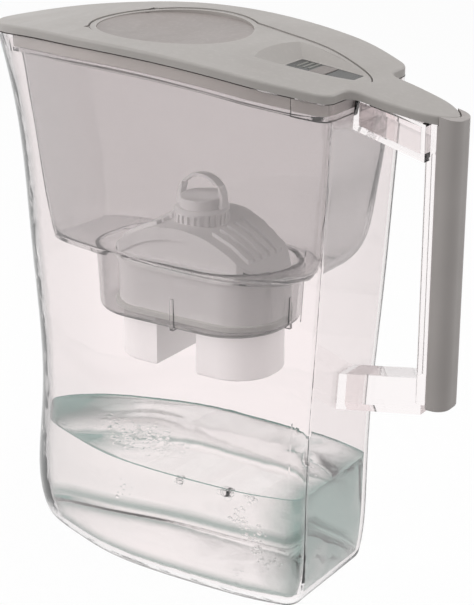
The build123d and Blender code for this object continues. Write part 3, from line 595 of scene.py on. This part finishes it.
def make_bubble_rule():
    """Spheres of random size on the points of a mesh."""
    tree, start, end = new_rule("bubbles", [
        ("Largest Radius", "NodeSocketFloat", 0.001),
        ("Seed", "NodeSocketInt", 0),
        ("Finish", "NodeSocketMaterial", None),
    ])
    ball = add(tree, "GeometryNodeMeshIcoSphere")
    ball.inputs["Subdivisions"].default_value = 3
    tree.links.new(start.outputs["Largest Radius"], ball.inputs["Radius"])
    size = add(tree, "FunctionNodeRandomValue", data_type="FLOAT")
    size.inputs[2].default_value = bubble_smallest
    size.inputs[3].default_value = 1.0
    tree.links.new(start.outputs["Seed"], size.inputs["Seed"])
    place = add(tree, "GeometryNodeInstanceOnPoints")
    tree.links.new(start.outputs["Geometry"], place.inputs["Points"])
    tree.links.new(ball.outputs["Mesh"], place.inputs["Instance"])
    tree.links.new(size.outputs[1], place.inputs["Scale"])
    real = add(tree, "GeometryNodeRealizeInstances")
    tree.links.new(place.outputs["Instances"], real.inputs["Geometry"])
    round_off = add(tree, "GeometryNodeSetShadeSmooth")
    tree.links.new(real.outputs["Geometry"], round_off.inputs["Geometry"])
    paint = add(tree, "GeometryNodeSetMaterial")
    tree.links.new(round_off.outputs["Geometry"], paint.inputs["Geometry"])
    tree.links.new(start.outputs["Finish"], paint.inputs["Material"])
    tree.links.new(paint.outputs["Geometry"], end.inputs["Geometry"])
    return tree


def scattered(centre, radius, count, seed):
    """Points spread over a disc, closer together in its middle."""
    for index in range(count):
        reach = radius * ((index + 0.5) / count)**0.8
        wobble = 0.35 * math.sin(5.1 * index + seed)
        angle = golden_angle * index + seed + wobble
        yield centre[0] + reach * math.cos(angle), centre[1] + reach * math.sin(angle)


def near_wall_y(surface, x, z):
    """Where the water's near side is, at x and z."""
    hit, place, normal, index = surface.ray_cast(Vector((x, 0.0, z)), Vector((0, -1, 0)))
    return place.y if hit else None


def make_bubbles(pool):
    rule = make_bubble_rule()
    number = 0
    for group, on_surface in ((surface_bubbles, True), (wall_bubbles, False)):
        for centre, radius, count, largest in group:
            number += 1
            builder = bmesh.new()
            for first, second in scattered(centre, radius, count, bubble_seed + number):
                if on_surface:
                    builder.verts.new((first, second, water_level - bubble_sink * largest))
                    continue
                height = min(second, water_level - largest)
                y = near_wall_y(pool, first, height)
                if y is not None:
                    builder.verts.new((first, y + bubble_off_wall * largest, height))
            carrier = new_piece(f"bubble_places_{number}", builder, bubble_finish, "jug")
            piece = node_tree_modifier(f"bubbles_{number}", carrier, rule, {
                "Largest Radius": largest, "Seed": bubble_seed + number, "Finish": bubble_finish})
            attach(piece, "jug")


# ---------------------------------------------------------------- indicator marks
def make_marks():
    """Pale bars in the window, lying on its slope."""
    low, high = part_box("indicator_lens")
    slope = (low.z - high.z + window_thickness) / (high.x - low.x)
    builder = bmesh.new()
    for x in mark_places:
        corner = []
        for dx in (-mark_width / 2, mark_width / 2):
            for y in (mark_y - mark_length / 2, mark_y + mark_length / 2):
                z = high.z + slope * (x + dx - low.x)
                corner.append((x + dx, y, z))
        under, over = [
            [builder.verts.new((cx, cy, cz + lift)) for cx, cy, cz in corner] for lift in (0, mark_height)]
        builder.faces.new([over[0], over[2], over[3], over[1]])
        for a, b in ((0, 1), (1, 3), (3, 2), (2, 0)):
            builder.faces.new([under[a], under[b], over[b], over[a]])
        builder.faces.new([under[1], under[3], under[2], under[0]])
    bmesh.ops.recalc_face_normals(builder, faces=builder.faces)
    return new_piece("window_marks", builder, mark_finish, "flap", smooth=False)


# ---------------------------------------------------------------- stage
def make_floor():
    builder = bmesh.new()
    corners = ((-1, -1), (1, -1), (1, 1), (-1, 1))
    builder.faces.new([builder.verts.new((x * floor_half, y * floor_half, 0.0)) for x, y in corners])
    mesh = bpy.data.meshes.new("floor")
    builder.to_mesh(mesh)
    builder.free()
    floor = bpy.data.objects.new("floor", mesh)
    bpy.context.scene.collection.objects.link(floor)
    material, tree, shader, end = new_finish("floor_white")
    shader.inputs["Base Color"].default_value = (0.6, 0.6, 0.6, 1)
    shader.inputs["Roughness"].default_value = 0.9
    glow = add(tree, "ShaderNodeEmission")
    glow.inputs["Strength"].default_value = floor_glow
    rays = add(tree, "ShaderNodeLightPath").outputs
    seen = sum_of(tree, "MAXIMUM", rays["Is Camera Ray"], rays["Is Transmission Ray"])
    seen = sum_of(tree, "MAXIMUM", seen, rays["Is Glossy Ray"])
    choice = add(tree, "ShaderNodeMixShader")
    tree.links.new(sum_of(tree, "MULTIPLY", seen, floor_glow_share), choice.inputs[0])
    tree.links.new(shader.outputs["BSDF"], choice.inputs[1])
    tree.links.new(glow.outputs["Emission"], choice.inputs[2])
    tree.links.new(choice.outputs["Shader"], end.inputs["Surface"])
    mesh.materials.append(material)


def make_world():
    world = bpy.data.worlds.new("white_room")
    bpy.context.scene.world = world
    world.use_nodes = True
    tree = world.node_tree
    tree.nodes.clear()
    light = add(tree, "ShaderNodeBackground")
    light.inputs["Color"].default_value = (1, 1, 1, 1)
    light.inputs["Strength"].default_value = world_light
    backdrop = add(tree, "ShaderNodeBackground")
    backdrop.inputs["Color"].default_value = (1, 1, 1, 1)
    backdrop.inputs["Strength"].default_value = 1.0
    rays = add(tree, "ShaderNodeLightPath").outputs
    seen = sum_of(tree, "MAXIMUM", rays["Is Camera Ray"], rays["Is Transmission Ray"])
    seen = sum_of(tree, "MAXIMUM", seen, rays["Is Glossy Ray"])
    choice = add(tree, "ShaderNodeMixShader")
    tree.links.new(seen, choice.inputs[0])
    tree.links.new(light.outputs[0], choice.inputs[1])
    tree.links.new(backdrop.outputs[0], choice.inputs[2])
    tree.links.new(choice.outputs[0], add(tree, "ShaderNodeOutputWorld").inputs["Surface"])


def make_lamp(name, place, aim, size, power):
    lamp = bpy.data.lights.new(name, "AREA")
    lamp.size = size
    lamp.energy = power
    holder = bpy.data.objects.new(name, lamp)
    bpy.context.scene.collection.objects.link(holder)
    holder.location = place
    holder.visible_transmission = False
    holder.rotation_euler = (Vector(aim) - Vector(place)).to_track_quat("-Z", "Y").to_euler()


def make_camera():
    level = math.cos(camera_lift)
    back = Vector((math.sin(camera_turn) * level, -math.cos(camera_turn) * level, math.sin(camera_lift)))
    lens = bpy.data.cameras.new("camera")
    camera = bpy.data.objects.new("camera", lens)
    bpy.context.scene.collection.objects.link(camera)
    camera.location = camera_aim + back * camera_distance
    camera.rotation_euler = (-back).to_track_quat("-Z", "Y").to_euler()
    lens.sensor_width = 36.0
    lens.lens = camera_lens_mm
    lens.shift_x, lens.shift_y = camera_shift
    lens.clip_start = 0.01
    bpy.context.scene.camera = camera


# ---------------------------------------------------------------- making
make_camera()
make_floor()
make_world()
for lamp in lamps:
    make_lamp(*lamp)
dress_nodes()
pool = make_water()
make_bubbles(pool)
make_marks()
bpy.context.scene.view_settings.view_transform = "Standard"
